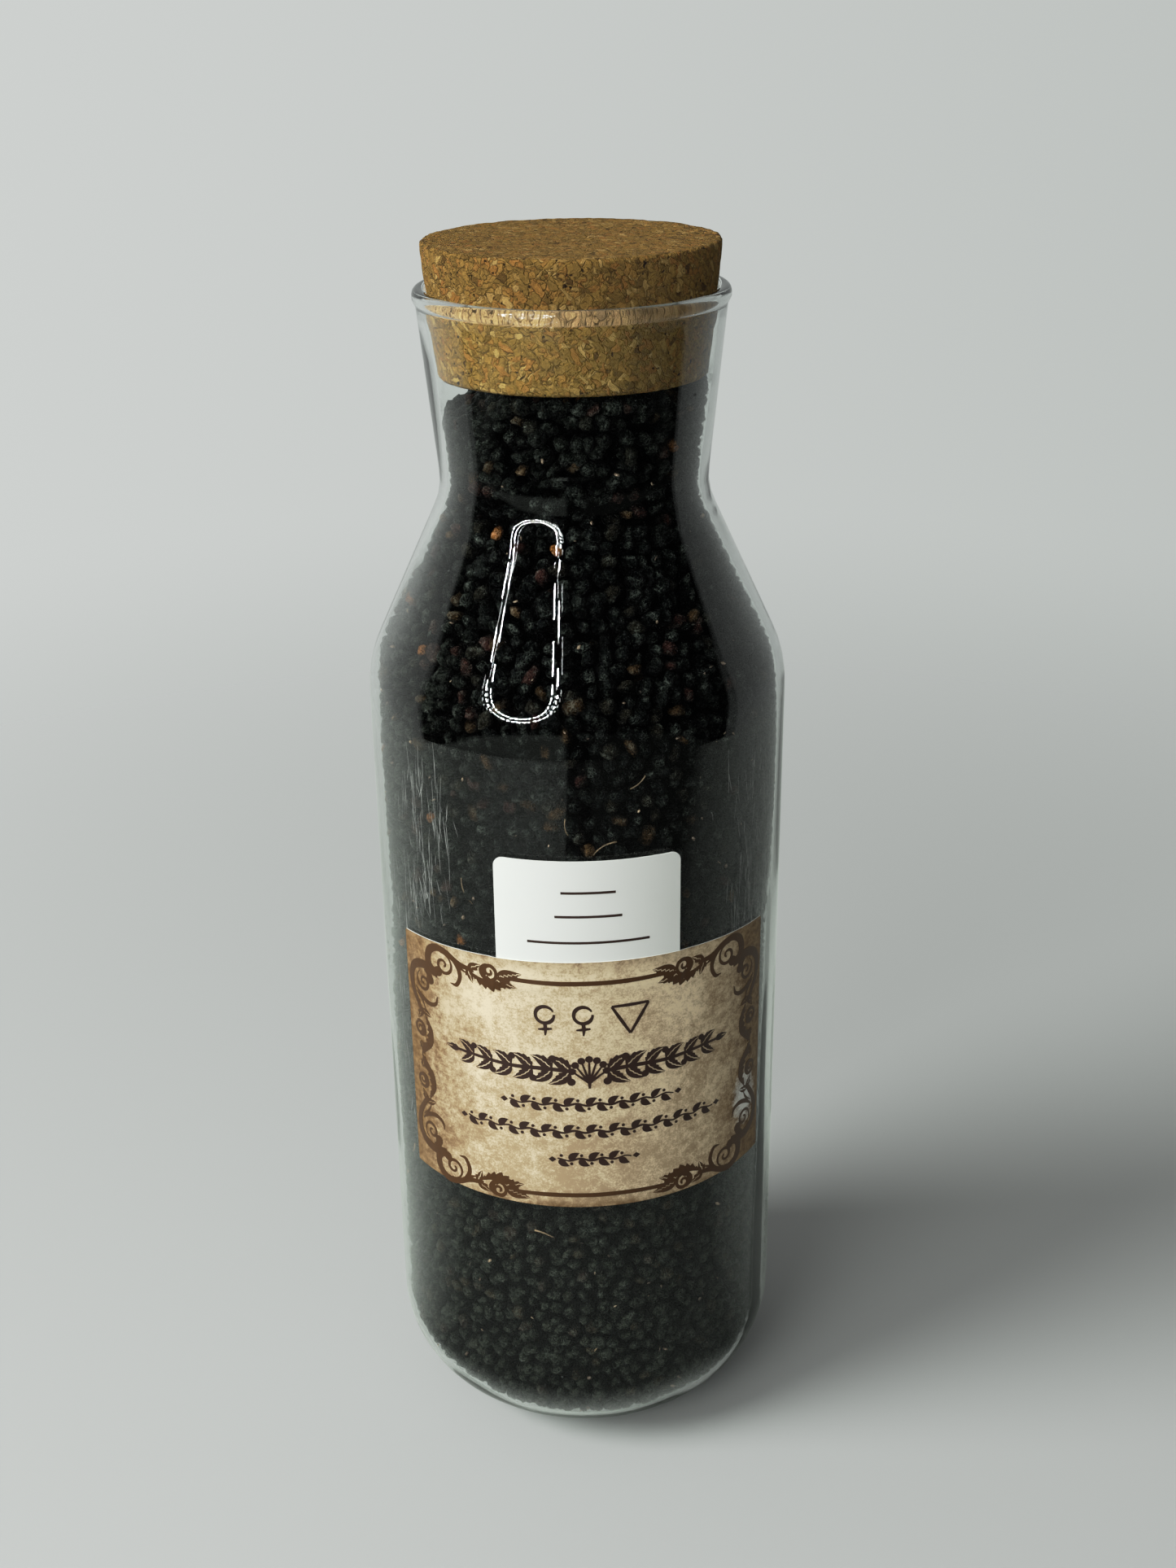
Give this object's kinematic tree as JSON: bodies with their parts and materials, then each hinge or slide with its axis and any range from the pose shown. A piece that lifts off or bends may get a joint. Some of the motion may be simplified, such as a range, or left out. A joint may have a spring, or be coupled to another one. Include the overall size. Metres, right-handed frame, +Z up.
{
  "type": "stoppered glass carafe of dried elderberries",
  "caption": "Clear glass carafe with a tapered cork stopper, filled with loose dried elderberries, with a small white label and a wide parchment label on its front.",
  "frame": {"origin": "centre of the carafe's foot, on the surface that it stands on", "axes": "+Z up along the carafe's axis, -Y towards the front with the labels, +X to the right seen from the front"},
  "size_m": [0.096, 0.0968, 0.2896],
  "materials": {
    "glass": "clear, smooth, blown glass",
    "cork": "pressed cork granules, matt",
    "dried_berry": "wrinkled dried fruit skin, satin",
    "white_paper": "smooth self-adhesive paper",
    "parchment_paper": "printed self-adhesive paper, slightly glossy"
  },
  "bodies": {
    "root": {"glass_carafe": "glass", "cork_stopper": "cork", "berry_fill": "dried_berry", "price_label": "white_paper", "parchment_label": "parchment_paper"}
  },
  "joints": []
}
